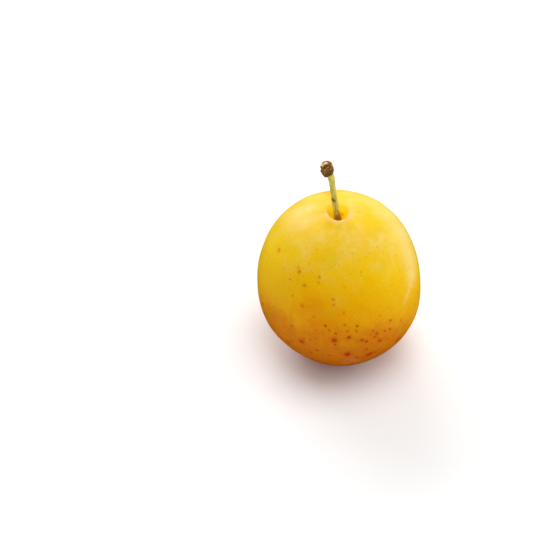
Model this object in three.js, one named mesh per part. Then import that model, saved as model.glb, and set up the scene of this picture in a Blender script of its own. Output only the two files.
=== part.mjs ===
// A ripe yellow plum standing on its base, with its stalk.
//
// Millimetres, +Z up. The origin lies at the centre of the fruit's girth, at the level of
// the small flat spot that the fruit rests on. The suture, the shallow seam of the fruit,
// runs down the +Y side. The stalk leans towards -X and a little towards +Y.

import * as THREE from 'three';

// Fruit body: half a superellipse above the widest girth and half a superellipse below it.
const FRUIT_WIDTH = 42;
const FRUIT_HEIGHT = 45;
const WIDEST_HEIGHT = 19.8;
const CROWN_FULLNESS = 2.2;
const BASE_FULLNESS = 2.0;
const FRUIT_SEGMENTS = 64;
const SIDE_ROWS = 30;

// The round base would end this far below the resting spot, which cuts it off flat.
const BASE_CUT = 0.35;

// The crown drifts this far towards -X, and the base as far towards +X.
const CROWN_LEAN = 0.85;

// Stalk cavity: a pit in the crown, wide and steep in front (-Y) and narrow and gentle at the
// back (+Y), and the socket that the stalk stands in.
const CAVITY_DEPTH = 3.6;
const CAVITY_RADIUS = 2.25;
const CAVITY_WALL = 0.9;
const CAVITY_SKEW = 0.35;
const SHOULDER_RADIUS = 7;
const CAVITY_ROWS = 22;
const SOCKET_DEPTH = 1.6;
const STALK_CLEARANCE = 0.3;

// Suture: a broad shallow valley on one side, faint on the crown and deepest at the girth.
const SUTURE_LONGITUDE = THREE.MathUtils.degToRad(105);
const SUTURE_DEPTH = 0.4;
const SUTURE_CROWN_SHARE = 0.3;
const SUTURE_HALF_WIDTH = 2.4;

// Slight unevenness of the girth, so that the fruit isn't a turned body.
const GIRTH_SWELL = 0.13;
const FACET_SWELL = 0.07;

// Stalk: a slim shaft, flared at both ends, that ends in a dry corky knob.
const SHAFT_RADIUS = 0.66;
const FOOT_RADIUS = 0.92;
const FOOT_FLARE = 1.1;
const NECK_RADIUS = 0.95;
const NECK_FLARE = 2.4;
const SHAFT_ROWS = 18;
const STALK_SEGMENTS = 16;
const STALK_FOOT = new THREE.Vector2(-0.8, 0.06);

// Knob: its outline as radius and height over its own length, and its ring wrinkles.
const KNOB_LENGTH = 3.75;
const KNOB_OUTLINE = [
  [0.95, 0],
  [1.36, 0.2],
  [1.6, 0.8],
  [1.58, 1.75],
  [1.42, 2.7],
  [1.04, 3.4],
  [0, KNOB_LENGTH],
];
const KNOB_ROWS = 22;
const RING_COUNT = 4;
const RING_DEPTH = 0.1;
const KNOB_LUMP = 0.12;

/** Depth of the cavity's pit at a radius, where the pit is narrower and gentler by a skew. */
function pitDepth(radius, skew) {
  const inside = (CAVITY_RADIUS - skew - radius) / (CAVITY_WALL + skew);
  return CAVITY_DEPTH * 0.5 * (1 + Math.tanh(inside));
}

/** Height of the fruit's crown over a point at this radius, with the cavity's pit in it. */
function crownHeight(radius) {
  const share = (2 * radius / FRUIT_WIDTH) ** CROWN_FULLNESS;
  const dome = (FRUIT_HEIGHT - WIDEST_HEIGHT) * (1 - share) ** (1 / CROWN_FULLNESS);
  return WIDEST_HEIGHT + dome - pitDepth(radius, 0);
}

/** Point of the fruit's side at an angle above (or below) its widest girth. */
function sidePoint(angle) {
  const fullness = angle > 0 ? CROWN_FULLNESS : BASE_FULLNESS;
  const reach = angle > 0 ? FRUIT_HEIGHT - WIDEST_HEIGHT : WIDEST_HEIGHT + BASE_CUT;
  const radius = FRUIT_WIDTH / 2 * Math.cos(angle) ** (2 / fullness);
  const rise = reach * Math.abs(Math.sin(angle)) ** (2 / fullness);
  return new THREE.Vector2(radius, WIDEST_HEIGHT + Math.sign(angle) * rise);
}

/** Outline of the fruit, from the middle of its resting spot up to the socket's floor. */
function fruitOutline() {
  const socketRadius = FOOT_RADIUS + STALK_CLEARANCE;
  const socketFloor = crownHeight(socketRadius) - SOCKET_DEPTH;
  const spotHeightShare = WIDEST_HEIGHT / (WIDEST_HEIGHT + BASE_CUT);
  const spotAngle = -Math.asin(spotHeightShare ** (BASE_FULLNESS / 2));
  const shoulderShare = 2 * SHOULDER_RADIUS / FRUIT_WIDTH;
  const shoulderAngle = Math.acos(shoulderShare ** (CROWN_FULLNESS / 2));
  const outline = [new THREE.Vector2(0, 0)];
  for (let row = 0; row <= SIDE_ROWS; row += 1) {
    const angle = THREE.MathUtils.lerp(spotAngle, shoulderAngle, row / SIDE_ROWS);
    outline.push(sidePoint(angle));
  }
  outline[1].y = 0;
  for (let row = 1; row <= CAVITY_ROWS; row += 1) {
    const radius = THREE.MathUtils.lerp(SHOULDER_RADIUS, socketRadius, row / CAVITY_ROWS);
    outline.push(new THREE.Vector2(radius, crownHeight(radius)));
  }
  outline.push(new THREE.Vector2(socketRadius, socketFloor));
  outline.push(new THREE.Vector2(0, socketFloor));
  return outline;
}

/** Turns an outline into a closed solid that stands along +Z. */
function turnedSolid(outline, segments) {
  const geometry = new THREE.LatheGeometry(outline, segments);
  geometry.rotateX(Math.PI / 2);
  return geometry;
}

/** Moves every corner of a solid to the place that a rule gives for it. */
function reshape(geometry, placeFor) {
  const position = geometry.getAttribute('position');
  const point = new THREE.Vector3();
  for (let index = 0; index < position.count; index += 1) {
    point.fromBufferAttribute(position, index);
    const place = placeFor(point);
    position.setXYZ(index, place.x, place.y, place.z);
  }
  geometry.computeVertexNormals();
  return geometry;
}

/** How far the fruit's surface stands out from the turned body, or in where negative. */
function fruitRelief(point) {
  const longitude = Math.atan2(point.y, point.x);
  const radius = Math.hypot(point.x, point.y);
  const rise = point.z / FRUIT_HEIGHT;
  const clearOfEnds = THREE.MathUtils.smoothstep(radius, 3, 6)
    * THREE.MathUtils.smoothstep(point.z, 0, 5);
  const turn = longitude - SUTURE_LONGITUDE;
  const across = radius * Math.sin(turn);
  const facing = THREE.MathUtils.smoothstep(radius * Math.cos(turn), 0, 3);
  const fading = THREE.MathUtils.smoothstep(point.z, 24, 40);
  const depth = SUTURE_DEPTH * THREE.MathUtils.lerp(1, SUTURE_CROWN_SHARE, fading);
  const suture = depth * facing * Math.exp(-0.5 * (across / SUTURE_HALF_WIDTH) ** 2);
  const girth = GIRTH_SWELL * Math.cos(2 * turn + 0.6 + rise);
  const facets = FACET_SWELL * Math.cos(5 * longitude + 1.3 + 2.4 * rise);
  return clearOfEnds * (girth + facets - suture);
}

/** How much higher the skewed pit is than the round one, clear of the stalk's socket. */
function pitLift(point) {
  const radius = Math.hypot(point.x, point.y);
  const skew = CAVITY_SKEW * Math.sin(Math.atan2(point.y, point.x));
  const onCrown = point.z > FRUIT_HEIGHT / 2 ? 1 : 0;
  const clearOfSocket = onCrown * THREE.MathUtils.smoothstep(radius, 1.3, 2);
  return clearOfSocket * (pitDepth(radius, 0) - pitDepth(radius, skew));
}

/** Places a corner of the turned fruit on the grown fruit: relief first, then the lean. */
function grownPlace(point) {
  const middle = new THREE.Vector3(0, 0, FRUIT_HEIGHT / 2);
  const outward = point.clone().sub(middle).normalize();
  const place = point.clone().addScaledVector(outward, fruitRelief(point));
  place.z += pitLift(point);
  place.x -= CROWN_LEAN * (place.z / middle.z - 1);
  return place;
}

/** Radius of the shaft at a height above its foot, flared at the foot and at the neck. */
function shaftRadius(height, shaftLength) {
  const foot = (FOOT_RADIUS - SHAFT_RADIUS) * Math.exp(-height / FOOT_FLARE);
  const neck = (NECK_RADIUS - SHAFT_RADIUS) * Math.exp((height - shaftLength) / NECK_FLARE);
  return SHAFT_RADIUS + foot + neck;
}

/** Outline of the straightened stalk: its foot, its shaft and its ringed knob. */
function stalkOutline(length) {
  const shaftLength = length - KNOB_LENGTH;
  const outline = [new THREE.Vector2(0, 0)];
  for (let row = 0; row < SHAFT_ROWS; row += 1) {
    const height = shaftLength * row / SHAFT_ROWS;
    outline.push(new THREE.Vector2(shaftRadius(height, shaftLength), height));
  }
  const corners = KNOB_OUTLINE.map(([radius, height]) => new THREE.Vector2(radius, height));
  const knob = new THREE.SplineCurve(corners);
  for (let row = 0; row < KNOB_ROWS; row += 1) {
    const share = row / KNOB_ROWS;
    const corner = knob.getPoint(share);
    const ring = RING_DEPTH * Math.sin(Math.PI * share) * Math.cos(2 * Math.PI * RING_COUNT * share);
    outline.push(new THREE.Vector2(corner.x - ring, shaftLength + corner.y));
  }
  outline.push(new THREE.Vector2(0, length));
  return outline;
}

/** Line that the middle of the stalk follows, from its level foot up to the knob's tip. */
function stalkLine() {
  const foot = crownHeight(FOOT_RADIUS + STALK_CLEARANCE) - SOCKET_DEPTH + STALK_CLEARANCE;
  const rim = FRUIT_HEIGHT;
  const points = [
    new THREE.Vector3(STALK_FOOT.x, STALK_FOOT.y, foot),
    new THREE.Vector3(STALK_FOOT.x, STALK_FOOT.y, foot + SOCKET_DEPTH),
    new THREE.Vector3(-1.3, 0.8, rim - 0.4),
    new THREE.Vector3(-1.8, 1.3, rim + 2.1),
    new THREE.Vector3(-2.45, 1.9, rim + 6.8),
    new THREE.Vector3(-2.85, 2.1, rim + 9.1),
    new THREE.Vector3(-3.7, 2.35, rim + 10.8),
    new THREE.Vector3(-3.92, 2.55, rim + 13.3),
  ];
  return new THREE.CatmullRomCurve3(points);
}

/** Places a corner of the straight stalk beside its bent line, with lumps on the knob. */
function bentPlace(point, line, length) {
  const share = THREE.MathUtils.clamp(point.z / length, 0, 1);
  const ahead = line.getTangentAt(share);
  const side = new THREE.Vector3(0, 1, 0).cross(ahead).normalize();
  const front = ahead.clone().cross(side);
  const longitude = Math.atan2(point.y, point.x);
  const onKnob = THREE.MathUtils.smoothstep(point.z, length - KNOB_LENGTH, length);
  const lump = 1 + KNOB_LUMP * onKnob * Math.sin(3 * longitude + 2.6 * point.z);
  const place = line.getPointAt(share);
  place.addScaledVector(side, point.x * lump);
  place.addScaledVector(front, point.y * lump);
  return place;
}

/** The fruit: skin and flesh, grown as one piece. */
function makeFruit() {
  const geometry = reshape(turnedSolid(fruitOutline(), FRUIT_SEGMENTS), grownPlace);
  const skin = new THREE.MeshStandardMaterial({ color: 0xe6b626, roughness: 0.42, metalness: 0 });
  const fruit = new THREE.Mesh(geometry, skin);
  fruit.name = 'fruit';
  return fruit;
}

/** The stalk: a green shaft and the corky knob that broke off the twig, one piece. */
function makeStalk() {
  const line = stalkLine();
  const length = line.getLength();
  const straight = turnedSolid(stalkOutline(length), STALK_SEGMENTS);
  const geometry = reshape(straight, (point) => bentPlace(point, line, length));
  const bark = new THREE.MeshStandardMaterial({ color: 0x9a9440, roughness: 0.75, metalness: 0 });
  const stalk = new THREE.Mesh(geometry, bark);
  stalk.name = 'stalk';
  return stalk;
}

const plum = new THREE.Group();
plum.name = 'plum';
plum.add(makeFruit());
plum.add(makeStalk());

export default plum;
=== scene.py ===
"""A ripe yellow plum with its stalk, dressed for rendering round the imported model."""

import math

import bpy
import numpy as np
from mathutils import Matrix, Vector, noise


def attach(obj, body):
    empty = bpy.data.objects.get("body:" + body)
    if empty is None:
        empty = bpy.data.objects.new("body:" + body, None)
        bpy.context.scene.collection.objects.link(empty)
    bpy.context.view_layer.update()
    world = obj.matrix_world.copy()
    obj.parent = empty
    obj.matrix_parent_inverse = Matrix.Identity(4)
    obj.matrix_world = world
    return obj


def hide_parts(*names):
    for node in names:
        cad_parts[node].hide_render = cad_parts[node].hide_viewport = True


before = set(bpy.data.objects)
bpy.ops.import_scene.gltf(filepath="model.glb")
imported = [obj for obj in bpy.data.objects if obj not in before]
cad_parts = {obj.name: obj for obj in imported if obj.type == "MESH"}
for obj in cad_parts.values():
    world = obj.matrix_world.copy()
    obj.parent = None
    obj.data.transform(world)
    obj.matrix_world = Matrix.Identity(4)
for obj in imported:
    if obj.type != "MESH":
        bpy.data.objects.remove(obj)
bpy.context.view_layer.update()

MM = 0.001

# Fruit body, in millimetres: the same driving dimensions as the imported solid.
FRUIT_WIDTH = 42.0
FRUIT_HEIGHT = 45.0
WIDEST_HEIGHT = 19.8
CROWN_FULLNESS = 2.2
BASE_FULLNESS = 2.0
BASE_CUT = 0.35
CROWN_LEAN = 0.85
CAVITY_DEPTH = 3.6
CAVITY_RADIUS = 2.25
CAVITY_WALL = 0.9
CAVITY_SKEW = 0.35
SHOULDER_RADIUS = 7.0
SUTURE_LONGITUDE = math.radians(105)
SUTURE_DEPTH = 0.4
SUTURE_CROWN_SHARE = 0.3
SUTURE_HALF_WIDTH = 2.4
GIRTH_SWELL = 0.13
FACET_SWELL = 0.07

# The skin's cavity against the solid's: the share by which it is narrower from side to side,
# and in millimetres how much gentler its back is and how deep its floor dips at the stalk.
CAVITY_PINCH = 0.14
CAVITY_BACK_SKEW = 0.4
CAVITY_DIMPLE = 0.6

# Heights between which what belongs to the crown comes in, in millimetres.
CROWN_FOOT = (30, 38)

# Fine relief of the skin, in millimetres. A furrow has a count, a size and a turn.
CREASE_DEPTH = 0.13
CREASE_HALF_WIDTH = 0.5
COLLAR_RADIUS = 1.0
COLLAR_HEIGHT = 0.2
COLLAR_HALF_WIDTH = 0.22
LIP_RADIUS = 3.3
LIP_HEIGHT = 0.09
LIP_HALF_WIDTH = 0.4
# Radius of the painted shadow just inside the cavity's lip.
LIP_SHADOW_RADIUS = 2.5
FURROW_DEPTH = 0.025
FURROWS = ((9, 1.0, 0.7), (14, 0.7, 2.9), (23, 0.6, 5.1))
WAVE_DEPTH = 0.06
WAVE_COUNT = 9
WAVE_LENGTHS = (6, 13)
WAVE_SEED = 7

# Mesh of the skin: points in a ring, rings in each zone, and the last ring's radius in
# millimetres.
FRUIT_COLUMNS = 320
SPOT_ROWS = 6
SIDE_ROWS = 150
CAVITY_ROWS = 78
LAST_RING_RADIUS = 0.45

# Stalk, in millimetres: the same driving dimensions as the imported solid.
SHAFT_RADIUS = 0.66
FOOT_RADIUS = 0.92
FOOT_FLARE = 1.1
NECK_RADIUS = 0.95
NECK_FLARE = 2.4
SOCKET_DEPTH = 1.6
STALK_CLEARANCE = 0.3
STALK_FOOT = (-0.8, 0.06)
KNOB_LENGTH = 3.75
KNOB_OUTLINE = (
    (0.95, 0),
    (1.36, 0.2),
    (1.6, 0.8),
    (1.58, 1.75),
    (1.42, 2.7),
    (1.04, 3.4),
    (0, KNOB_LENGTH),
)

# Places above the socket that the stalk's middle passes, with heights above the crown.
STALK_BENDS = (
    (-1.3, 0.8, -0.4),
    (-1.8, 1.3, 2.1),
    (-2.45, 1.9, 6.8),
    (-2.85, 2.1, 9.1),
    (-3.7, 2.35, 10.8),
    (-3.92, 2.55, 13.3),
)

# Fine relief of the stalk, in millimetres, and the knob's rings as a count and a size.
BUTT_SWELL = 0.06
RIDGE_DEPTH = 0.035
FINE_RIDGE_DEPTH = 0.018
SHAFT_GRAIN_DEPTH = 0.02
CORK_DEPTH = 0.11
CORK_SCALE = (1.35, 1.35, 2.3)
CORK_GRAIN_SCALE = 2.3
RING_COUNT = 4
RING_DEPTH = 0.1
RING_SHARE = 0.6
SCAR_HEIGHT = 7.35

# Mesh of the stalk: points in a ring, rings in each zone, points along its middle and along
# the knob's outline, and over how many of those to each side the outline is smoothed.
STALK_COLUMNS = 72
SHAFT_ROWS = 170
KNOB_ROWS = 90
LINE_POINTS = 400
KNOB_POINTS = 200
KNOB_SMOOTHING = 15

# Pale patches on the knob: where it broke off the twig at its tip, and a painted highlight lower on
# its left front.
# Each has a place across and ahead, depth below the tip, and half width.
BROKEN_AND_HIGHLIGHT_PATCHES = ((-0.15, -0.3, 0.15, 0.66), (-1.2, -0.6, 0.7, 0.75))

# Picture: 550 pixels square, with the fruit's middle at this place in it.
IMAGE_SIZE = 550
FRUIT_PIXEL = (339.0, 277.0)
PIXELS_PER_MM = 3.916
LENS = 100.0
SENSOR = 36.0
ELEVATION = math.radians(43.5)

# Studio: the floor's half width in metres and its tone, the world's brightness as light and
# as seen, and the place in metres that the soft boxes face.
FLOOR_HALF = 3.0
FLOOR_TONE = 0.95
WORLD_LIGHT = 0.42
WORLD_SEEN = 0.82
LIGHTS_AIM = Vector((0, 0, 0.02))


def smoothstep(value, start, end):
    """0 before start, 1 after end, and a soft S between them."""
    share = np.clip((value - start) / (end - start), 0.0, 1.0)
    return share * share * (3.0 - 2.0 * share)


def bell(value, middle, half_width):
    """1 at the middle, falling off to both sides."""
    return np.exp(-0.5 * ((value - middle) / half_width) ** 2)


# ---------------------------------------------------------------- camera, floor and light


def make_camera():
    """Looks down on the fruit from the front (-Y), with the fruit where the picture has it."""
    distance = IMAGE_SIZE * LENS / (SENSOR * PIXELS_PER_MM) * MM
    forward = Vector((0, math.cos(ELEVATION), -math.sin(ELEVATION)))
    right = Vector((1, 0, 0))
    up = right.cross(forward)
    aside = (FRUIT_PIXEL[0] - IMAGE_SIZE / 2) / PIXELS_PER_MM * MM
    below = (FRUIT_PIXEL[1] - IMAGE_SIZE / 2) / PIXELS_PER_MM * MM
    middle = Vector((0, 0, FRUIT_HEIGHT / 2 * MM))
    data = bpy.data.cameras.new("camera")
    data.lens = LENS
    data.sensor_width = SENSOR
    data.clip_start = 0.01
    data.clip_end = 20
    camera = bpy.data.objects.new("camera", data)
    camera.location = middle - forward * distance - right * aside + up * below
    camera.rotation_mode = "QUATERNION"
    camera.rotation_quaternion = forward.to_track_quat("-Z", "Y")
    bpy.context.scene.collection.objects.link(camera)
    bpy.context.scene.camera = camera


def area_light(name, place, size, power, mirrored):
    """A soft box that faces the fruit, with or without a reflection in its skin."""
    data = bpy.data.lights.new(name, "AREA")
    data.shape = "RECTANGLE"
    data.size, data.size_y = size
    data.energy = power
    light = bpy.data.objects.new(name, data)
    light.location = place
    aim = LIGHTS_AIM - Vector(place)
    light.rotation_mode = "QUATERNION"
    light.rotation_quaternion = aim.to_track_quat("-Z", "Y")
    light.visible_camera = False
    light.visible_glossy = mirrored
    bpy.context.scene.collection.objects.link(light)


def even_light(name, strength, spread, lean):
    """Soft light from above that reaches all of the floor alike, without a reflection."""
    data = bpy.data.lights.new(name, "SUN")
    data.energy = strength
    data.angle = spread
    light = bpy.data.objects.new(name, data)
    light.rotation_euler = (*lean, 0)
    light.visible_camera = False
    light.visible_glossy = False
    bpy.context.scene.collection.objects.link(light)


def make_lights():
    """Even light from above, soft boxes behind and on the right, and a dim fill."""
    even_light("overhead", 1.16, math.radians(42), (math.radians(2.6), math.radians(5)))
    area_light("front_fill", (0.1, -0.6, 0.9), (0.7, 0.5), 1.0, False)
    area_light("right_side", (1.0, 0.3, 0.42), (0.7, 0.8), 3.6, True)
    area_light("left_back", (-0.42, 0.95, 0.66), (1.05, 0.75), 8.9, True)
    area_light("backdrop", (0.6, 1.6, 0.3), (2.4, 0.6), 3.6, True)


def make_world():
    """Pale grey to the eye, a dimmer even white as light, and out of the reflections."""
    world = bpy.data.worlds.new("studio")
    world.use_nodes = True
    world.cycles_visibility.glossy = False
    nodes, links = world.node_tree.nodes, world.node_tree.links
    nodes.clear()
    light = nodes.new("ShaderNodeBackground")
    light.inputs["Color"].default_value = (1, 1, 1, 1)
    light.inputs["Strength"].default_value = WORLD_LIGHT
    seen = nodes.new("ShaderNodeBackground")
    seen.inputs["Color"].default_value = (WORLD_SEEN, WORLD_SEEN, WORLD_SEEN, 1)
    mix = nodes.new("ShaderNodeMixShader")
    links.new(nodes.new("ShaderNodeLightPath").outputs["Is Camera Ray"], mix.inputs[0])
    links.new(light.outputs[0], mix.inputs[1])
    links.new(seen.outputs[0], mix.inputs[2])
    links.new(mix.outputs[0], nodes.new("ShaderNodeOutputWorld").inputs[0])
    bpy.context.scene.world = world


def make_floor():
    """A wide plain pale floor."""
    mesh = bpy.data.meshes.new("floor")
    signs = ((-1, -1), (1, -1), (1, 1), (-1, 1))
    corners = [(x * FLOOR_HALF, y * FLOOR_HALF, 0) for x, y in signs]
    mesh.from_pydata(corners, [], [(0, 1, 2, 3)])
    floor = bpy.data.objects.new("floor", mesh)
    bpy.context.scene.collection.objects.link(floor)
    material = bpy.data.materials.new("floor_white")
    material.use_nodes = True
    shader = material.node_tree.nodes["Principled BSDF"]
    shader.inputs["Base Color"].default_value = (FLOOR_TONE, FLOOR_TONE, FLOOR_TONE, 1)
    shader.inputs["Roughness"].default_value = 0.9
    shader.inputs["Specular IOR Level"].default_value = 0.1
    mesh.materials.append(material)
    floor.visible_glossy = False


# ---------------------------------------------------------------- meshes


def closed_grid(name, rings, low_pole, high_pole, attributes):
    """A closed mesh of rings of points in millimetres between two poles, with their values."""
    rows, columns = rings.shape[:2]
    points = np.concatenate([rings.reshape(-1, 3), [low_pole, high_pole]])
    low, high = rows * columns, rows * columns + 1
    here = np.arange(columns)
    after = (here + 1) % columns
    faces = []
    for row in range(rows - 1):
        below, above = row * columns, (row + 1) * columns
        faces.extend(zip(below + here, below + after, above + after, above + here))
    faces.extend(zip(after, here, np.full(columns, low)))
    top = (rows - 1) * columns
    faces.extend(zip(top + here, top + after, np.full(columns, high)))
    mesh = bpy.data.meshes.new(name)
    mesh.from_pydata((points * MM).tolist(), [], [tuple(map(int, face)) for face in faces])
    mesh.polygons.foreach_set("use_smooth", [True] * len(mesh.polygons))
    for key, values in attributes.items():
        kind = "FLOAT_VECTOR" if values.ndim == 3 else "FLOAT"
        flat = values.reshape(rows * columns, -1)
        flat = np.concatenate([flat, flat[:1], flat[-1:]])
        layer = mesh.attributes.new(key, kind, "POINT")
        layer.data.foreach_set("vector" if values.ndim == 3 else "value", flat.ravel())
    mesh.update()
    piece = bpy.data.objects.new(name, mesh)
    bpy.context.scene.collection.objects.link(piece)
    return piece


def pit_depth(radius, skew):
    """Depth of the cavity's pit at a radius, where the pit is narrower and gentler by a skew."""
    inside = (CAVITY_RADIUS - skew - radius) / (CAVITY_WALL + skew)
    return CAVITY_DEPTH * 0.5 * (1 + np.tanh(inside))


def crown_height(radius):
    """Height of the crown over a point at this radius, with the cavity's pit in it."""
    share = (2 * radius / FRUIT_WIDTH) ** CROWN_FULLNESS
    dome = (FRUIT_HEIGHT - WIDEST_HEIGHT) * (1 - share) ** (1 / CROWN_FULLNESS)
    return WIDEST_HEIGHT + dome - pit_depth(radius, 0)


def side_point(angle):
    """Radius and height of the side at an angle above or below the widest girth."""
    crown = angle > 0
    fullness = np.where(crown, CROWN_FULLNESS, BASE_FULLNESS)
    reach = np.where(crown, FRUIT_HEIGHT - WIDEST_HEIGHT, WIDEST_HEIGHT + BASE_CUT)
    radius = FRUIT_WIDTH / 2 * np.cos(angle) ** (2 / fullness)
    rise = reach * np.abs(np.sin(angle)) ** (2 / fullness)
    return radius, WIDEST_HEIGHT + np.sign(angle) * rise


def fruit_outline():
    """Radii and heights of the turned body, from the resting spot's middle to the cavity's."""
    spot_share = WIDEST_HEIGHT / (WIDEST_HEIGHT + BASE_CUT)
    spot_angle = -math.asin(spot_share ** (BASE_FULLNESS / 2))
    shoulder_share = 2 * SHOULDER_RADIUS / FRUIT_WIDTH
    shoulder_angle = math.acos(shoulder_share ** (CROWN_FULLNESS / 2))
    side_radius, side_height = side_point(np.linspace(spot_angle, shoulder_angle, SIDE_ROWS))
    side_height[0] = 0.0
    spot_radius = np.linspace(0, side_radius[0], SPOT_ROWS + 2)[1:-1]
    pit_radius = np.linspace(SHOULDER_RADIUS, LAST_RING_RADIUS, CAVITY_ROWS)[1:]
    radius = np.concatenate([spot_radius, side_radius, pit_radius])
    height = np.concatenate([0 * spot_radius, side_height, crown_height(pit_radius)])
    return radius, height


def fruit_relief(radius, height, longitude):
    """How far the grown skin stands out from the turned body, in millimetres."""
    rise = height / FRUIT_HEIGHT
    clear_of_ends = smoothstep(radius, 3, 6) * smoothstep(height, 0, 5)
    turn = longitude - SUTURE_LONGITUDE
    across = radius * np.sin(turn)
    facing = smoothstep(radius * np.cos(turn), 0, 3)
    share = 1 + (SUTURE_CROWN_SHARE - 1) * smoothstep(height, 24, 40)
    suture = SUTURE_DEPTH * share * facing * bell(across, 0, SUTURE_HALF_WIDTH)
    girth = GIRTH_SWELL * np.cos(2 * turn + 0.6 + rise)
    facets = FACET_SWELL * np.cos(5 * longitude + 1.3 + 2.4 * rise)
    crease = CREASE_DEPTH * share * facing * bell(across, 0, CREASE_HALF_WIDTH)
    return clear_of_ends * (girth + facets - suture - crease)


def skin_waves(x, y, z):
    """Slight seeded waviness of the skin, mostly between -1 and 1."""
    random = np.random.default_rng(WAVE_SEED)
    points = np.stack([x.ravel(), y.ravel(), z.ravel()])
    waves = 0
    for _ in range(WAVE_COUNT):
        direction = random.normal(size=3)
        direction /= np.linalg.norm(direction)
        length = random.uniform(*WAVE_LENGTHS)
        phase = random.uniform(0, 2 * math.pi)
        waves = waves + np.sin(2 * math.pi / length * (direction @ points) + phase)
    return waves.reshape(x.shape) / 4


def crown_relief(radius, height, longitude):
    """Upward relief round the stalk: collar, lip, furrows, and the skew of the cavity."""
    uneven = 1 + 0.35 * np.sin(3 * longitude + 0.8) + 0.2 * np.sin(7 * longitude + 2.1)
    collar = COLLAR_HEIGHT * uneven * bell(radius, COLLAR_RADIUS, COLLAR_HALF_WIDTH)
    lip = LIP_HEIGHT * (1 + 0.5 * np.sin(2 * longitude + 0.4))
    lip = lip * bell(radius, LIP_RADIUS, LIP_HALF_WIDTH)
    furrows = sum(size * np.sin(count * longitude + turn) for count, size, turn in FURROWS)
    in_front = 0.6 - 0.4 * np.sin(longitude)
    reach = in_front * smoothstep(radius, 1.4, 3.0) * (1 - smoothstep(radius, 3.6, 6.5))
    sink = CAVITY_DIMPLE * (1 - smoothstep(radius, LAST_RING_RADIUS, 2 * LAST_RING_RADIUS))
    on_back = smoothstep(np.sin(longitude), 0, 1)
    skew = (CAVITY_SKEW + CAVITY_BACK_SKEW * on_back) * np.sin(longitude)
    lift = (pit_depth(radius, 0) - pit_depth(radius, skew)) * smoothstep(radius, 1.1, 1.8)
    relief = collar + lip + lift + FURROW_DEPTH * furrows * reach - sink
    return np.where(height > FRUIT_HEIGHT / 2, relief, 0)


def skin_zones(turned, radius, height, longitude):
    """Shares that tell the skin's material where the cavity's parts, its painted light and painted
    shadow, and the suture lie.
    """
    on_crown = smoothstep(height, *CROWN_FOOT)
    on_back = smoothstep(np.sin(longitude), 0, 1)
    pit_reach = radius + 0.5 * np.sin(longitude) + 0.5 * on_back
    lip = bell(radius, LIP_RADIUS + 0.2, 0.5)
    facing_lip = 1 - smoothstep(turned[..., 1], -1.6, 0.6)
    # Painted shadow: a dark line just inside the lip on the front left.
    lip_shadow = bell(radius, LIP_SHADOW_RADIUS, 0.22)
    facing_lip_shadow = smoothstep(-turned[..., 0] - turned[..., 1], 1.2, 2.6)
    turn = longitude - SUTURE_LONGITUDE
    suture = bell(radius * np.sin(turn), 0, CREASE_HALF_WIDTH)
    suture = suture * smoothstep(radius * np.cos(turn), 0, 2)
    return {
        "pit": on_crown * (1 - smoothstep(pit_reach, 1.9, 3.4)),
        # Painted light: where the cavity's walls glow by emission, to lift them out of their shade.
        "painted_pit_light": on_crown * (1 - smoothstep(radius, 1.9, 3.7 + 0.6 * on_back)),
        "lip": on_crown * lip * facing_lip,
        "lip_shadow": on_crown * lip_shadow * facing_lip_shadow,
        "collar": on_crown * bell(radius, COLLAR_RADIUS, 0.2),
        "suture": suture * smoothstep(radius, 3, 5),
    }


def make_fruit():
    """The fruit's skin as one fine closed mesh."""
    radius, height = fruit_outline()
    longitude = np.linspace(0, 2 * math.pi, FRUIT_COLUMNS, endpoint=False)
    radius, longitude = np.meshgrid(radius, longitude, indexing="ij")
    height = np.repeat(height[:, None], FRUIT_COLUMNS, axis=1)
    turned = np.stack([radius * np.cos(longitude), radius * np.sin(longitude), height], -1)
    middle = np.array([0, 0, FRUIT_HEIGHT / 2])
    outward = turned - middle
    outward /= np.linalg.norm(outward, axis=-1, keepdims=True)
    relief = fruit_relief(radius, height, longitude)
    calm = smoothstep(height, 0.5, 4) * smoothstep(radius, 3.5, 7)
    relief = relief + WAVE_DEPTH * calm * skin_waves(*np.moveaxis(turned, -1, 0))
    grown = turned + outward * relief[..., None]
    grown[..., 2] += crown_relief(radius, height, longitude)
    pinch = CAVITY_PINCH * smoothstep(height, *CROWN_FOOT) * (1 - smoothstep(radius, 3, 8))
    grown[..., 0] -= pinch * turned[..., 0] + CROWN_LEAN * (grown[..., 2] / middle[2] - 1)
    attributes = {"grown_mm": turned, **skin_zones(turned, radius, height, longitude)}
    low_pole = (CROWN_LEAN, 0, 0)
    top = grown[-1].mean(axis=0)
    return closed_grid("fruit_skin", grown, low_pole, top, attributes)


def stalk_line():
    """Lengths along the stalk's middle, from its foot to the knob's tip, and points there."""
    foot = float(crown_height(FOOT_RADIUS + STALK_CLEARANCE)) - SOCKET_DEPTH + STALK_CLEARANCE
    socket = [(*STALK_FOOT, foot), (*STALK_FOOT, foot + SOCKET_DEPTH)]
    bends = [(across, ahead, FRUIT_HEIGHT + rise) for across, ahead, rise in STALK_BENDS]
    return centripetal_curve(np.array(socket + bends))


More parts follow.
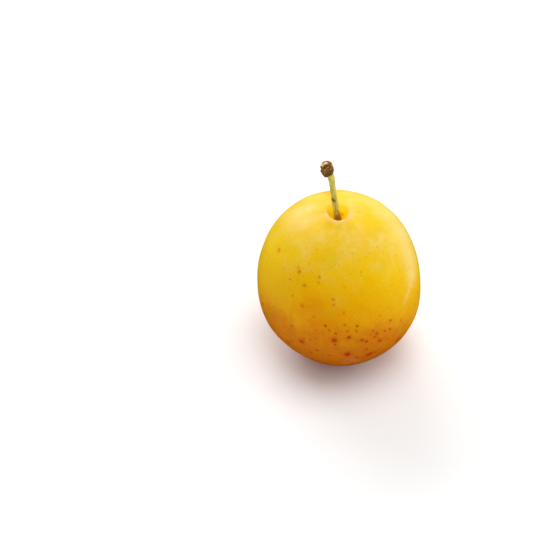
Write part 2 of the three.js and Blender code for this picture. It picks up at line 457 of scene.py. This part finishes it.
def centripetal_curve(corners, steps=60):
    """Lengths along a smooth curve through the corners, and its points there, evenly spaced."""
    ends = np.concatenate([[2 * corners[0] - corners[1]], corners, [2 * corners[-1] - corners[-2]]])
    points = [corners[0]]
    for p0, p1, p2, p3 in zip(ends, ends[1:], ends[2:], ends[3:]):
        t0 = 0.0
        t1 = t0 + np.linalg.norm(p1 - p0) ** 0.5
        t2 = t1 + np.linalg.norm(p2 - p1) ** 0.5
        t3 = t2 + np.linalg.norm(p3 - p2) ** 0.5
        for t in np.linspace(t1, t2, steps + 1)[1:]:
            a1 = (t1 - t) / (t1 - t0) * p0 + (t - t0) / (t1 - t0) * p1
            a2 = (t2 - t) / (t2 - t1) * p1 + (t - t1) / (t2 - t1) * p2
            a3 = (t3 - t) / (t3 - t2) * p2 + (t - t2) / (t3 - t2) * p3
            b1 = (t2 - t) / (t2 - t0) * a1 + (t - t0) / (t2 - t0) * a2
            b2 = (t3 - t) / (t3 - t1) * a2 + (t - t1) / (t3 - t1) * a3
            points.append((t2 - t) / (t2 - t1) * b1 + (t - t1) / (t2 - t1) * b2)
    points = np.array(points)
    gone = np.concatenate([[0], np.cumsum(np.linalg.norm(np.diff(points, axis=0), axis=1))])
    even = np.linspace(0, gone[-1], LINE_POINTS)
    return even, np.stack([np.interp(even, gone, points[:, k]) for k in range(3)], -1)


def knob_outline(share):
    """Radius and height of the knob at shares of the way from its neck to its tip."""
    corners = np.array(KNOB_OUTLINE, float)
    at = np.linspace(0, 1, len(corners))
    fine = np.linspace(0, 1, KNOB_POINTS)
    smooth = np.stack([np.interp(fine, at, corners[:, k]) for k in range(2)], -1)
    kernel = np.hanning(2 * KNOB_SMOOTHING + 1)
    kernel /= kernel.sum()
    for k in range(2):
        padded = np.pad(smooth[:, k], KNOB_SMOOTHING, mode="reflect", reflect_type="odd")
        smooth[:, k] = np.convolve(padded, kernel, mode="valid")
    return np.interp(share, fine, smooth[:, 0]), np.interp(share, fine, smooth[:, 1])


def stalk_outline(length):
    """Radii and heights of the straightened stalk."""
    shaft_length = length - KNOB_LENGTH
    height = np.linspace(0, shaft_length, SHAFT_ROWS, endpoint=False)
    foot = (FOOT_RADIUS - SHAFT_RADIUS) * np.exp(-height / FOOT_FLARE)
    neck = (NECK_RADIUS - SHAFT_RADIUS) * np.exp((height - shaft_length) / NECK_FLARE)
    share = np.linspace(0.01, 0.985, KNOB_ROWS)
    knob_radius, knob_height = knob_outline(share)
    radius = np.concatenate([SHAFT_RADIUS + foot + neck, knob_radius])
    height = np.concatenate([height, shaft_length + knob_height])
    return radius, height


def cork_relief(x, y, z):
    """Corky scales of the knob at one point, about -1 in the cracks to 1 on the scales."""
    cell = Vector((x * CORK_SCALE[0], y * CORK_SCALE[1], z * CORK_SCALE[2]))
    distances, _ = noise.voronoi(cell, distance_metric="DISTANCE")
    crack = min(1.0, 2.2 * (distances[1] - distances[0]))
    fine = Vector((x * CORK_GRAIN_SCALE, y * CORK_GRAIN_SCALE, z * CORK_GRAIN_SCALE))
    grain = noise.fractal(fine, 0.6, 2.0, 4)
    return 1.3 * crack - 0.8 + 0.7 * grain


def shaft_relief(longitude, height):
    """Ridges along the shaft and uneven grain across them, in millimetres."""
    ridges = RIDGE_DEPTH * np.sin(5 * longitude + 0.15 * height)
    ridges = ridges + FINE_RIDGE_DEPTH * np.sin(11 * longitude - 0.2 * height + 1)
    grain = SHAFT_GRAIN_DEPTH * np.sin(3.1 * height + 2 * np.sin(longitude))
    return ridges + grain * np.sin(2 * longitude + 0.9 * height)


def broken_and_highlight_share(grain, cork, length):
    """How far each point lies inside the pale patches: the broken tip and the painted highlight."""
    broken_and_highlight = 0
    for across, ahead, below_tip, half_width in BROKEN_AND_HIGHLIGHT_PATCHES:
        away = np.linalg.norm(grain - (across, ahead, length - below_tip), axis=-1)
        patch = 1 - smoothstep(away - 0.25 * cork, 0.6 * half_width, half_width)
        broken_and_highlight = np.maximum(broken_and_highlight, patch)
    return broken_and_highlight


def make_stalk():
    """The shaft and the corky knob as one fine closed mesh."""
    even, line = stalk_line()
    length = even[-1]
    shaft_length = length - KNOB_LENGTH
    radius, height = stalk_outline(length)
    longitude = np.linspace(0, 2 * math.pi, STALK_COLUMNS, endpoint=False)
    radius, longitude = np.meshgrid(radius, longitude, indexing="ij")
    height = np.repeat(height[:, None], STALK_COLUMNS, axis=1)
    x, y = radius * np.cos(longitude), radius * np.sin(longitude)
    knob = smoothstep(height, shaft_length - 0.12, shaft_length + 0.2)
    cork = np.vectorize(cork_relief)(x, y, height)
    up_knob = (height - shaft_length) / KNOB_LENGTH
    ring_turn = 2 * math.pi * RING_COUNT * up_knob + 0.5 * np.sin(2 * longitude)
    rings = -RING_DEPTH * np.cos(ring_turn)
    swell = BUTT_SWELL * (1 - smoothstep(height, 5, 11))
    thick = radius + swell + knob * (CORK_DEPTH * cork + RING_SHARE * rings)
    thick = np.maximum(thick + (1 - knob) * shaft_relief(longitude, height), 0.02)
    x, y = thick * np.cos(longitude), thick * np.sin(longitude)
    place = np.stack([np.interp(height, even, line[:, k]) for k in range(3)], -1)
    slope = np.gradient(line, even, axis=0)
    ahead = np.stack([np.interp(height, even, slope[:, k]) for k in range(3)], -1)
    ahead /= np.linalg.norm(ahead, axis=-1, keepdims=True)
    side = np.cross(np.array([0.0, 1.0, 0.0]), ahead)
    side /= np.linalg.norm(side, axis=-1, keepdims=True)
    front = np.cross(ahead, side)
    bent = place + side * x[..., None] + front * y[..., None]
    grain = np.stack([radius * np.cos(longitude), radius * np.sin(longitude), height], -1)
    attributes = {
        "grain_mm": grain,
        "knob": knob,
        # The knob is painted darker towards its foot, as shade under its swell.
        "cork": 0.5 + 0.5 * cork - 0.16 * (1 - smoothstep(up_knob, 0.1, 0.8)),
        "broken_and_highlight": broken_and_highlight_share(grain, cork, length),
    }
    top = bent[-1].mean(axis=0)
    return closed_grid("stalk_and_knob", bent, line[0], top, attributes)


# ---------------------------------------------------------------- materials


class Painter:
    """Short spelling for the nodes of one material."""

    def __init__(self, name):
        self.material = bpy.data.materials.new(name)
        self.material.use_nodes = True
        self.tree = self.material.node_tree
        self.shader = self.tree.nodes["Principled BSDF"]

    def feed(self, socket, value):
        """Links a node's output, or sets a plain value."""
        if isinstance(value, bpy.types.NodeSocket):
            self.tree.links.new(value, socket)
        elif isinstance(value, tuple) and len(value) == 3 and socket.type == "RGBA":
            socket.default_value = (*value, 1)
        else:
            socket.default_value = value

    def math(self, operation, *values):
        node = self.tree.nodes.new("ShaderNodeMath")
        node.operation = operation
        for socket, value in zip(node.inputs, values):
            self.feed(socket, value)
        return node.outputs[0]

    def times(self, a, b):
        return self.math("MULTIPLY", a, b)

    def times_plus(self, a, b, base):
        return self.math("MULTIPLY_ADD", a, b, base)

    def rest_of(self, share):
        """What a share leaves of 1."""
        return self.math("SUBTRACT", 1.0, share)

    def swing(self, draw, size, base):
        """A base that a draw between 0 and 1 moves up and down by half a size."""
        return self.times_plus(self.math("SUBTRACT", draw, 0.5), size, base)

    def vector(self, operation, a, b=(0, 0, 0)):
        node = self.tree.nodes.new("ShaderNodeVectorMath")
        node.operation = operation
        self.feed(node.inputs[0], a)
        if operation == "SCALE":
            self.feed(node.inputs["Scale"], b)
        else:
            self.feed(node.inputs[1], b)
        return node.outputs["Value" if operation in ("DISTANCE", "LENGTH") else "Vector"]

    def step(self, value, start, end, low=0.0, high=1.0):
        """Soft step of a value from low at start to high at end."""
        node = self.tree.nodes.new("ShaderNodeMapRange")
        node.interpolation_type = "SMOOTHSTEP"
        self.feed(node.inputs["Value"], value)
        limits = {"From Min": start, "From Max": end, "To Min": low, "To Max": high}
        for key, limit in limits.items():
            self.feed(node.inputs[key], limit)
        return node.outputs["Result"]

    def mix(self, share, a, b, blend="MIX"):
        """Colour a with a share of colour b over it."""
        node = self.tree.nodes.new("ShaderNodeMix")
        node.data_type = "RGBA"
        node.blend_type = blend
        self.feed(node.inputs[0], share)
        self.feed(node.inputs[6], a)
        self.feed(node.inputs[7], b)
        return node.outputs[2]

    def ramp(self, value, stops):
        """Colour at a value between stops of place and colour."""
        node = self.tree.nodes.new("ShaderNodeValToRGB")
        self.feed(node.inputs[0], value)
        elements = node.color_ramp.elements
        while len(elements) < len(stops):
            elements.new(0.5)
        for element, (place, colour) in zip(elements, stops):
            element.position = place
            element.color = (*colour, 1)
        return node.outputs[0]

    def attribute(self, name, output="Fac"):
        node = self.tree.nodes.new("ShaderNodeAttribute")
        node.attribute_name = name
        return node.outputs[output]

    def noise(self, vector, size, detail=2.0, roughness=0.5, output=0):
        """Noise whose lumps are about this many millimetres across: 1 is its colour output."""
        node = self.tree.nodes.new("ShaderNodeTexNoise")
        self.feed(node.inputs["Vector"], vector)
        node.inputs["Scale"].default_value = 1 / size
        node.inputs["Detail"].default_value = detail
        node.inputs["Roughness"].default_value = roughness
        return node.outputs[output]

    def cells(self, vector, size):
        """Distance to the nearest of many scattered points, in cells, and two draws for it."""
        node = self.tree.nodes.new("ShaderNodeTexVoronoi")
        self.feed(node.inputs["Vector"], vector)
        node.inputs["Scale"].default_value = 1 / size
        draws = self.tree.nodes.new("ShaderNodeSeparateColor")
        self.tree.links.new(node.outputs["Color"], draws.inputs[0])
        return node.outputs["Distance"], draws.outputs[0], draws.outputs[1]

    def split(self, vector):
        node = self.tree.nodes.new("ShaderNodeSeparateXYZ")
        self.feed(node.inputs[0], vector)
        return node.outputs

    def join(self, x, y, z):
        node = self.tree.nodes.new("ShaderNodeCombineXYZ")
        for socket, value in zip(node.inputs, (x, y, z)):
            self.feed(socket, value)
        return node.outputs[0]

    def bump(self, height, strength, distance):
        node = self.tree.nodes.new("ShaderNodeBump")
        node.inputs["Strength"].default_value = strength
        node.inputs["Distance"].default_value = distance
        self.feed(node.inputs["Height"], height)
        return node.outputs[0]

    def finish(self, **sockets):
        """Feeds the shader: keys are its sockets' names with _ for blanks."""
        for key, value in sockets.items():
            self.feed(self.shader.inputs[key.replace("_", " ")], value)
        return self.material


# Marks on the skin: longitude in degrees from +X towards +Y, with the front at -90, then
# height above the resting spot and width, both in millimetres.
RED_SPOTS = (
    (-95, 21, 1.35),
    (-76, 20.4, 0.9),
    (-73, 19.7, 0.8),
    (-67, 20.3, 0.6),
    (-63, 18.5, 1.1),
    (-73, 16.6, 0.8),
    (-68, 14.2, 0.7),
    (-70, 13.8, 1.9),
    (-65, 13.8, 0.8),
    (-86, 15.7, 1.6),
    (-85.3, 22, 1.0),
    (-79, 13.5, 0.8),
    (-59, 21.2, 0.6),
    (-54.5, 20.8, 0.55),
    (-82, 10, 1.0),
    (-101, 25.4, 0.5),
    (-79, 25.3, 0.55),
    (-54, 23.6, 0.5),
    (-98, 24.2, 0.5),
    (-94, 23.3, 0.5),
    (-88, 26, 0.45),
    (-86, 24, 0.45),
    (-80, 23.8, 0.5),
    (-68, 22.7, 0.5),
    (-65, 21.3, 0.6),
    (-63, 14.5, 0.6),
    (-62, 10.4, 0.8),
    (-85, 12, 0.7),
    (-118, 18, 1.3),
    (-131, 14.5, 1.0),
    (-44, 14, 1.3),
    (5, 11, 1.4),
    (48, 9.5, 1.2),
    (93, 12.5, 1.4),
    (128, 15.5, 1.0),
    (151, 9, 1.4),
    (-170, 12, 1.2),
)
BROWN_SPOTS = (
    (-88.3, 29.4, 0.6),
    (-127, 30.9, 0.6),
    (-126, 35, 0.5),
    (-127, 36.7, 0.9),
    (-129, 37.4, 0.6),
    (-119, 34.5, 0.9),
    (-108, 37.1, 0.7),
    (-108, 36, 0.6),
    (-118, 29.5, 0.9),
    (-96, 32.7, 0.7),
    (-95, 31.3, 0.6),
    (-133, 34.2, 0.6),
    (-109, 27.4, 0.7),
    (-62, 26.6, 0.6),
    (-158, 37.3, 1.1),
    (-20, 24, 0.7),
    (31, 30.5, 0.8),
    (74, 27, 0.7),
    (118, 33.5, 0.8),
    (146, 25.5, 0.8),
)
OLIVE_DOTS = (
    (-142, 35.4, 0.6),
    (-120, 39, 0.5),
    (-42, 40.8, 0.7),
    (5, 40.4, 0.5),
    (-71, 38.1, 0.6),
    (-86, 35.3, 0.6),
    (-107, 40.3, 0.5),
    (-75, 41.4, 0.6),
    (62, 44.1, 0.5),
)

# Patches on the skin: longitude, height, half width and strength. They are ruddier skin, thin bloom
# with painted sheen, painted highlights and a painted reflection laid on as thick bloom, skin
# without bloom, and painted shade in front of the lip.
WARM_PATCHES = (
    (-108, 28, 5.0, 0.62),
    (-100, 23, 6.0, 0.35),
    (-132, 20, 6.0, 0.3),
    (-62, 18, 5.0, 0.5),
    (20, 20, 6.0, 0.4),
    (140, 24, 7.0, 0.5),
)
# Real bloom, with a painted highlight in the patch over the upper left.
BLOOM_AND_SHEEN_PATCHES = (
    (178, 42.5, 3.2, 0.65),
    (-92.5, 32.4, 1.9, 0.22),
    (60, 37, 6.0, 0.7),
    (105, 31, 4.0, 0.5),
    (135, 38, 5.0, 0.7),
)
# Painted highlights laid on as thick bloom: the upper left, the pale band down the right, and a
# painted floor reflection at the base.
BLOOM_AND_HIGHLIGHT_PATCHES = (
    (35, 42, 4.0, 0.3),
    (18, 40, 4.0, 0.65),
    (0, 37, 4.8, 0.9),
    (-12, 34, 4.4, 0.9),
    (-22, 30.6, 3.0, 0.72),
    (-28, 28.9, 1.6, 0.62),
    (-32, 28.0, 1.2, 0.45),
    (-35.4, 27.2, 1.0, 0.6),
    (-38.6, 26.4, 0.8, 0.3),
    (-83, 11, 1.8, 0.22),
    (162, 43.6, 2.0, 0.8),
    (170, 42.8, 2.4, 0.85),
    (-178, 42.6, 2.6, 0.55),
    (-168, 43.2, 2.8, 0.6),
)
BARE_PATCHES = (
    (-118, 44.4, 1.7, 0.9),
    (-118, 41, 1.8, 0.8),
    (-148, 38, 2.8, 0.8),
    (-8, 43.1, 2.8, 0.9),
    (100, 42, 4.0, 0.7),
)
# Painted shade on the slope in front of the cavity's lip.
LIP_SHADE_PATCHES = (
    (-118, 44.5, 1.7, 0.75),
    (-95, 44.4, 1.4, 0.45),
    (-66, 44.3, 1.3, 0.3),
)

# Colours of the skin from the base to the crown, as shares of its full tone: its own orange to
# golden, with painted shade darkening the base.
SKIN_TONES_AND_SHADE = (
    (0.10, (0.47, 0.090, 0.0006)),
    (0.37, (0.64, 0.205, 0.0007)),
    (0.50, (0.82, 0.365, 0.0008)),
    (0.61, (0.860, 0.460, 0.0010)),
    (0.79, (0.895, 0.560, 0.0025)),
    (0.91, (0.88, 0.565, 0.0060)),
    (0.98, (0.89, 0.590, 0.0150)),
)
FULL_TONE = FRUIT_HEIGHT + 7

# Colours on the skin.
WARM_SKIN = (0.76, 0.22, 0.0007)
GREEN_SKIN = (0.74, 0.52, 0.006)
# Colour of the painted shade in front of the cavity's lip.
LIP_SHADE_SKIN = (0.72, 0.44, 0.006)
# Pale of the bloom, also used as painted sheen over the crown.
THIN_BLOOM_AND_SHEEN = (0.89, 0.68, 0.25)
# Pale colour of the painted highlights, laid on as thick bloom.
BLOOM_AND_HIGHLIGHT = (0.97, 0.75, 0.35)
PALE_DOT = (0.95, 0.70, 0.10)
DARK_DOT = (0.55, 0.26, 0.006)
OLIVE_DOT = (0.50, 0.31, 0.01)
BROWN_HALO = (0.80, 0.26, 0.004)
BROWN_SPOT = (0.60, 0.13, 0.002)
BROWN_HEART = (0.76, 0.34, 0.01)
RED_HALO = (0.64, 0.09, 0.001)
RED_SPOT = (0.42, 0.018, 0.001)
RASH = (0.62, 0.10, 0.001)
RED_SPECK = (0.44, 0.035, 0.001)
SUTURE_LINE = (0.66, 0.28, 0.006)

# Colours of the cavity.
DEEP_FLESH = (0.97, 0.52, 0.001)
PALE_FLESH = (0.99, 0.66, 0.001)
PIT_RUST = (0.40, 0.12, 0.006)
LIP_FOLD = (0.90, 0.54, 0.29)
# Colour of the painted shadow just inside the cavity's lip.
LIP_SHADOW = (0.42, 0.15, 0.01)
COLLAR_RUST = (0.40, 0.15, 0.006)
DARK = (0.0, 0.0, 0.0)
# Painted light: the glow given to the cavity's walls, which are no lamp.
PAINTED_PIT_LIGHT_COLOUR = (0.34, 0.22, 0.0)

# Colours of the stalk, and of the knob from its cracks to its scales.
DULL_GREEN = (0.48, 0.40, 0.045)
FRESH_GREEN = (0.85, 0.74, 0.17)
STALK_DARK_DOT = (0.26, 0.19, 0.02)
STALK_PALE_DOT = (0.88, 0.78, 0.32)
STALK_FOOT_BROWN = (0.21, 0.088, 0.003)
SCAR_BROWN = (0.17, 0.075, 0.006)
BARK_TONES = (
    (0.0, (0.06, 0.018, 0.002)),
    (0.35, (0.19, 0.075, 0.009)),
    (0.7, (0.42, 0.215, 0.045)),
    (1.0, (0.68, 0.44, 0.15)),
)
BARK_GRAIN = (0.36, 0.19, 0.045)
# Pale of the broken tip, also used for the painted highlight on the knob.
BROKEN_BARK_AND_HIGHLIGHT = (0.90, 0.60, 0.31)


def surface_point(longitude, height):
    """Place on the turned body at a longitude in degrees and a height, in millimetres."""
    radii, heights = fruit_outline()
    side = slice(SPOT_ROWS, SPOT_ROWS + SIDE_ROWS + CAVITY_ROWS // 2)
    radius = float(np.interp(height, heights[side], radii[side]))
    angle = math.radians(longitude)
    return (radius * math.cos(angle), radius * math.sin(angle), height)


def nearness(paint, place, marks):
    """How far a place is from the nearest mark's middle, with 1 at the mark's edge."""
    nearest = 9.0
    for longitude, height, width in marks:
        away = paint.vector("DISTANCE", place, surface_point(longitude, height))
        nearest = paint.math("MINIMUM", nearest, paint.times(away, 2 / width))
    return nearest


def paint_patches(paint, place, cloud, patches):
    """Cloudy-edged patches round the places in a list, as strong as the list says."""
    shade = 0.0
    for longitude, height, half_width, strength in patches:
        away = paint.vector("DISTANCE", place, surface_point(longitude, height))
        ragged = paint.times_plus(cloud, 1.6 * half_width, away)
        patch = paint.step(ragged, 2.5 * half_width, 0.6 * half_width, 0, strength)
        shade = paint.math("MAXIMUM", shade, patch)
    return shade


def paint_ground_and_shade(paint, place, blotch, fine):
    """Colour of the skin: orange at the base, golden above, greener on the left, with painted shade
    on the base and the front.
    """
    across, ahead, rise = paint.split(place)
    broad = paint.noise(place, 11, 2)
    # Painted shade: the tone runs lower at the front, so the front is darker and oranger.
    tone = paint.math("ADD", rise, paint.step(ahead, -17, 8, 0, 7.0))
    to_right = paint.times(paint.step(across, 4, 20, 0, 9.0), paint.step(rise, 20, 36, 0.6, 1.1))
    tone = paint.math("ADD", tone, to_right)
    tone = paint.swing(broad, 9.0, tone)
    tone = paint.swing(blotch, paint.step(rise, 38, 26, 6.0, 10.0), tone)
    ground = paint.ramp(paint.math("DIVIDE", tone, FULL_TONE), SKIN_TONES_AND_SHADE)
    speckle = paint.swing(fine, 0.22, 1.0)
    ground = paint.mix(1.0, ground, paint.join(speckle, speckle, speckle), "MULTIPLY")
    ground = paint.mix(paint_patches(paint, place, broad, WARM_PATCHES), ground, WARM_SKIN)
    green = paint.step(paint.noise(place, 7, 2), 0.5, 0.7, 0, 0.4)
    green = paint.math("MAXIMUM", green, paint.step(across, -5, -17, 0, 0.3))
    green = paint.times(green, paint.step(rise, 22, 34))
    return paint.mix(green, ground, GREEN_SKIN)


def paint_streaks(paint, place, rise):
    """Faint streaks of rubbed bloom that run down from the cavity, round 1 on average."""
    across, ahead, _ = paint.split(place)
    outward = paint.join(across, ahead, 0.0)
    direction = paint.vector("SCALE", paint.vector("NORMALIZE", outward), 4.0)
    lengthwise = paint.join(0.0, 0.0, paint.times(rise, 0.12))
    turned = paint.vector("ADD", direction, lengthwise)
    streaks = paint.step(paint.noise(turned, 0.9, 2, 0.5), 0.3, 0.7, 0.5, 1.5)
    share = paint.step(rise, 38, 44, 0, 0.65)
    return paint.times_plus(share, paint.math("SUBTRACT", streaks, 1.0), 1.0)


def paint_bloom_and_sheen(paint, place, rise, cloud, flecks):
    """Broken pale bloom with painted sheen: cloudy over the crown, thicker in patches, and hardly
    any low down.
    """
    mottle = paint.step(cloud, 0.36, 0.64, 0.25, 1.0)
    rubbed = paint.step(paint.noise(place, 2.6, 5, 0.6), 0.53, 0.58, 1.0, 0.6)
    mottle = paint.times(mottle, rubbed)
    # Over the crown the pale haze is partly real bloom and partly painted sheen.
    haze = paint.step(paint.swing(cloud, 16.0, rise), 33.5, 45, 0, 0.8)
    bare = paint_patches(paint, place, cloud, BARE_PATCHES)
    haze = paint.times(haze, paint.rest_of(bare))
    haze = paint.math("MAXIMUM", haze, paint_patches(paint, place, cloud, BLOOM_AND_SHEEN_PATCHES))
    haze = paint.times(haze, mottle)
    contrast = paint.step(haze, 0.15, 0.6, 1.0, 0.45)
    flecked = paint.times_plus(contrast, paint.step(flecks, 0.3, 0.7, -0.27, 0.27), 0.83)
    haze = paint.times(haze, flecked)
    return paint.times(haze, paint_streaks(paint, place, rise))


def paint_spots(paint, colour, place, rise):
    """Olive, brown and red spots, with a rash and fine red specks towards the base."""
    warp = paint.vector("SUBTRACT", paint.noise(place, 0.8, 3, output=1), (0.5, 0.5, 0.5))
    warped = paint.vector("ADD", place, paint.vector("SCALE", warp, 1.1))
    olive = nearness(paint, warped, OLIVE_DOTS)
    colour = paint.mix(paint.step(olive, 1.6, 0.4, 0, 0.45), colour, OLIVE_DOT)
    brown = nearness(paint, warped, BROWN_SPOTS)
    colour = paint.mix(paint.step(brown, 2.4, 0.9, 0, 0.3), colour, BROWN_HALO)
    colour = paint.mix(paint.step(brown, 1.4, 0.5, 0, 0.58), colour, BROWN_SPOT)
    colour = paint.mix(paint.step(brown, 0.5, 0.2, 0, 0.35), colour, BROWN_HEART)
    red = nearness(paint, warped, RED_SPOTS)
    colour = paint.mix(paint.step(red, 2.8, 0.9, 0, 0.45), colour, RED_HALO)
    colour = paint.mix(paint.step(red, 1.45, 0.4, 0, 0.88), colour, RED_SPOT)

    rash = paint.step(paint.noise(warped, 1.7, 4, 0.6), 0.52, 0.68, 0, 0.35)
    rash = paint.times(rash, paint.step(rise, 25, 17))
    colour = paint.mix(rash, colour, RASH)
    distance, draw, _ = paint.cells(warped, 1.5)
    low = paint.step(rise, 31, 17, 0.12, 1.0)
    size = paint.times(paint.times(paint.math("POWER", draw, 2.0), 0.38), low)
    speck = paint.step(paint.math("DIVIDE", distance, size), 1.3, 0.4, 0, 0.8)
    return paint.mix(speck, colour, RED_SPECK)


def paint_cavity(paint, colour, place, blotch, pit, collar):
    """Deep yellow flesh with rust in it, pale folds on the lip, a painted shadow just inside the
    lip, and a rusty collar.
    """
    flesh = paint.mix(blotch, DEEP_FLESH, PALE_FLESH)
    colour = paint.mix(pit, colour, flesh)
    rust = paint.step(paint.noise(place, 0.7, 3), 0.53, 0.65, 0, 0.75)
    colour = paint.mix(paint.times(pit, rust), colour, PIT_RUST)
    folds = paint.step(paint.noise(place, 0.55, 3), 0.38, 0.62, 0.4, 0.85)
    colour = paint.mix(paint.times(paint.attribute("lip"), folds), colour, LIP_FOLD)
    # Painted shadow just inside the lip.
    colour = paint.mix(paint.times(paint.attribute("lip_shadow"), 0.6), colour, LIP_SHADOW)
    rust = paint.step(blotch, 0.4, 0.6, 0.0, 0.8)
    return paint.mix(paint.times(collar, rust), colour, COLLAR_RUST)


def paint_skin():
    """Waxy translucent skin: golden to orange, with bloom, dots, spots, the cavity, painted
    highlights, shade and glow.
    """
    paint = Painter("plum_skin")
    place = paint.attribute("grown_mm", "Vector")
    rise = paint.split(place)[2]
    blotch = paint.noise(place, 1.9, 4, 0.6)
    fine = paint.noise(place, 0.45, 2)
    cloud = paint.noise(place, 5.0, 5, 0.58)
    flecks = paint.noise(place, 0.8, 4, 0.65)
    painted_pit_light = paint.attribute("painted_pit_light")
    pit = paint.attribute("pit")
    collar = paint.attribute("collar")

    colour = paint_ground_and_shade(paint, place, blotch, fine)
    # Bloom, partly painted sheen over the crown.
    bloom_and_sheen = paint_bloom_and_sheen(paint, place, rise, cloud, flecks)
    bloom_and_sheen = paint.times(bloom_and_sheen, paint.rest_of(painted_pit_light))
    colour = paint.mix(paint.times(bloom_and_sheen, 0.6), colour, THIN_BLOOM_AND_SHEEN)
    # Painted highlights and a painted reflection, laid on as thick bloom.
    thick = paint_patches(paint, place, cloud, BLOOM_AND_HIGHLIGHT_PATCHES)
    thick = paint.times(thick, paint.step(flecks, 0.3, 0.7, 0.55, 0.7))
    colour = paint.mix(thick, colour, BLOOM_AND_HIGHLIGHT)
    # Painted shade in front of the cavity's lip.
    colour = paint.mix(paint_patches(paint, place, cloud, LIP_SHADE_PATCHES), colour, LIP_SHADE_SKIN)

    distance, draw, other = paint.cells(place, 1.15)
    dot = paint.step(distance, 0.24, 0.10)
    pale = paint.times(dot, paint.step(draw, 0.6, 0.65, 0, 0.22))
    colour = paint.mix(pale, colour, PALE_DOT)
    dark = paint.times(dot, paint.step(other, 0.7, 0.75, 0, 0.4))
    colour = paint.mix(dark, colour, DARK_DOT)
    colour = paint_spots(paint, colour, place, rise)
    colour = paint_cavity(paint, colour, place, blotch, pit, collar)
    seam = paint.times(paint.attribute("suture"), 0.4)
    colour = paint.mix(seam, colour, SUTURE_LINE)

    rough = paint.times_plus(bloom_and_sheen, 0.16, 0.38)
    rough = paint.swing(blotch, 0.12, rough)
    skin_height = paint.times_plus(blotch, 0.035, paint.times(fine, 0.012))
    skin_height = paint.times_plus(dot, -0.008, skin_height)
    # Painted light: the cavity's walls glow by emission out of their shade, except on the collar.
    painted_pit_light = paint.times(painted_pit_light, paint.rest_of(collar))
    return paint.finish(
        Base_Color=colour,
        Roughness=rough,
        Normal=paint.bump(paint.times(skin_height, MM), 1.0, 1.0),
        Emission_Color=paint.mix(painted_pit_light, DARK, PAINTED_PIT_LIGHT_COLOUR),
        Emission_Strength=1.0,
        Subsurface_Weight=paint.step(pit, 0, 1, 0.5, 1.0),
        Subsurface_Radius=(1.0, 0.42, 0.10),
        Subsurface_Scale=3.0 * MM,
        Specular_IOR_Level=0.15,
        Specular_Tint=(1.0, 0.85, 0.15),
        IOR=1.42,
    )


def scar(paint, x, y, z):
    """Share of the short slanting scar on the front of the shaft."""
    along = paint.times_plus(x, 0.9, paint.math("SUBTRACT", z, SCAR_HEIGHT))
    outward = paint.math("ADD", x, 0.14)
    gap = paint.join(paint.times(outward, 1.8), paint.times(along, 2.1), 0.0)
    near = paint.step(paint.vector("LENGTH", gap), 1.2, 0.6, 0, 0.95)
    return paint.times(near, paint.step(y, 0.0, -0.2))


def paint_stalk():
    """Yellow-green shaft, brown at its foot, and the corky knob with its broken tip, a painted
    highlight and painted shade.
    """
    paint = Painter("stalk_and_cork")
    place = paint.attribute("grain_mm", "Vector")
    x, y, z = paint.split(place)
    knob = paint.attribute("knob")
    fine = paint.noise(place, 0.2, 3)
    long_grain = paint.noise(paint.vector("MULTIPLY", place, (1, 1, 0.16)), 0.35, 3)
    green = paint.mix(paint.step(long_grain, 0.3, 0.7), DULL_GREEN, FRESH_GREEN)
    distance, draw, other = paint.cells(place, 0.36)
    dark = paint.step(draw, 0.4, 0.45, 0, 0.7)
    dark = paint.times(paint.step(distance, 0.38, 0.15), dark)
    green = paint.mix(dark, green, STALK_DARK_DOT)
    pale = paint.step(other, 0.6, 0.65, 0, 0.5)
    pale = paint.times(paint.step(distance, 0.36, 0.15), pale)
    green = paint.mix(pale, green, STALK_PALE_DOT)
    ragged = paint.times_plus(long_grain, 2.4, z)
    green = paint.mix(paint.step(ragged, 6.2, 3.5, 0, 0.92), green, STALK_FOOT_BROWN)
    green = paint.mix(scar(paint, x, y, z), green, SCAR_BROWN)
    # The knob's cork share also carries painted shade at its foot.
    bark = paint.ramp(paint.attribute("cork"), BARK_TONES)
    bark = paint.mix(paint.step(fine, 0.4, 0.7, 0, 0.3), bark, BARK_GRAIN)
    # The broken tip, and a painted highlight on the knob's left front.
    bark = paint.mix(paint.times(paint.attribute("broken_and_highlight"), 0.92), bark, BROKEN_BARK_AND_HIGHLIGHT)
    height = paint.times(fine, 0.05 * MM)
    return paint.finish(
        Base_Color=paint.mix(knob, green, bark),
        Roughness=paint.step(knob, 0, 1, 0.48, 0.9),
        Normal=paint.bump(height, 1.0, 1.0),
        Specular_IOR_Level=0.3,
    )


# ---------------------------------------------------------------- assembly


def dress(piece, material, node):
    """Gives a piece its finish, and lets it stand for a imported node."""
    piece.data.materials.append(material)
    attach(piece, "root")
    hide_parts(node)


make_camera()
make_world()
make_lights()
make_floor()
dress(make_fruit(), paint_skin(), "fruit")
dress(make_stalk(), paint_stalk(), "stalk")
bpy.context.scene.view_settings.view_transform = "Standard"
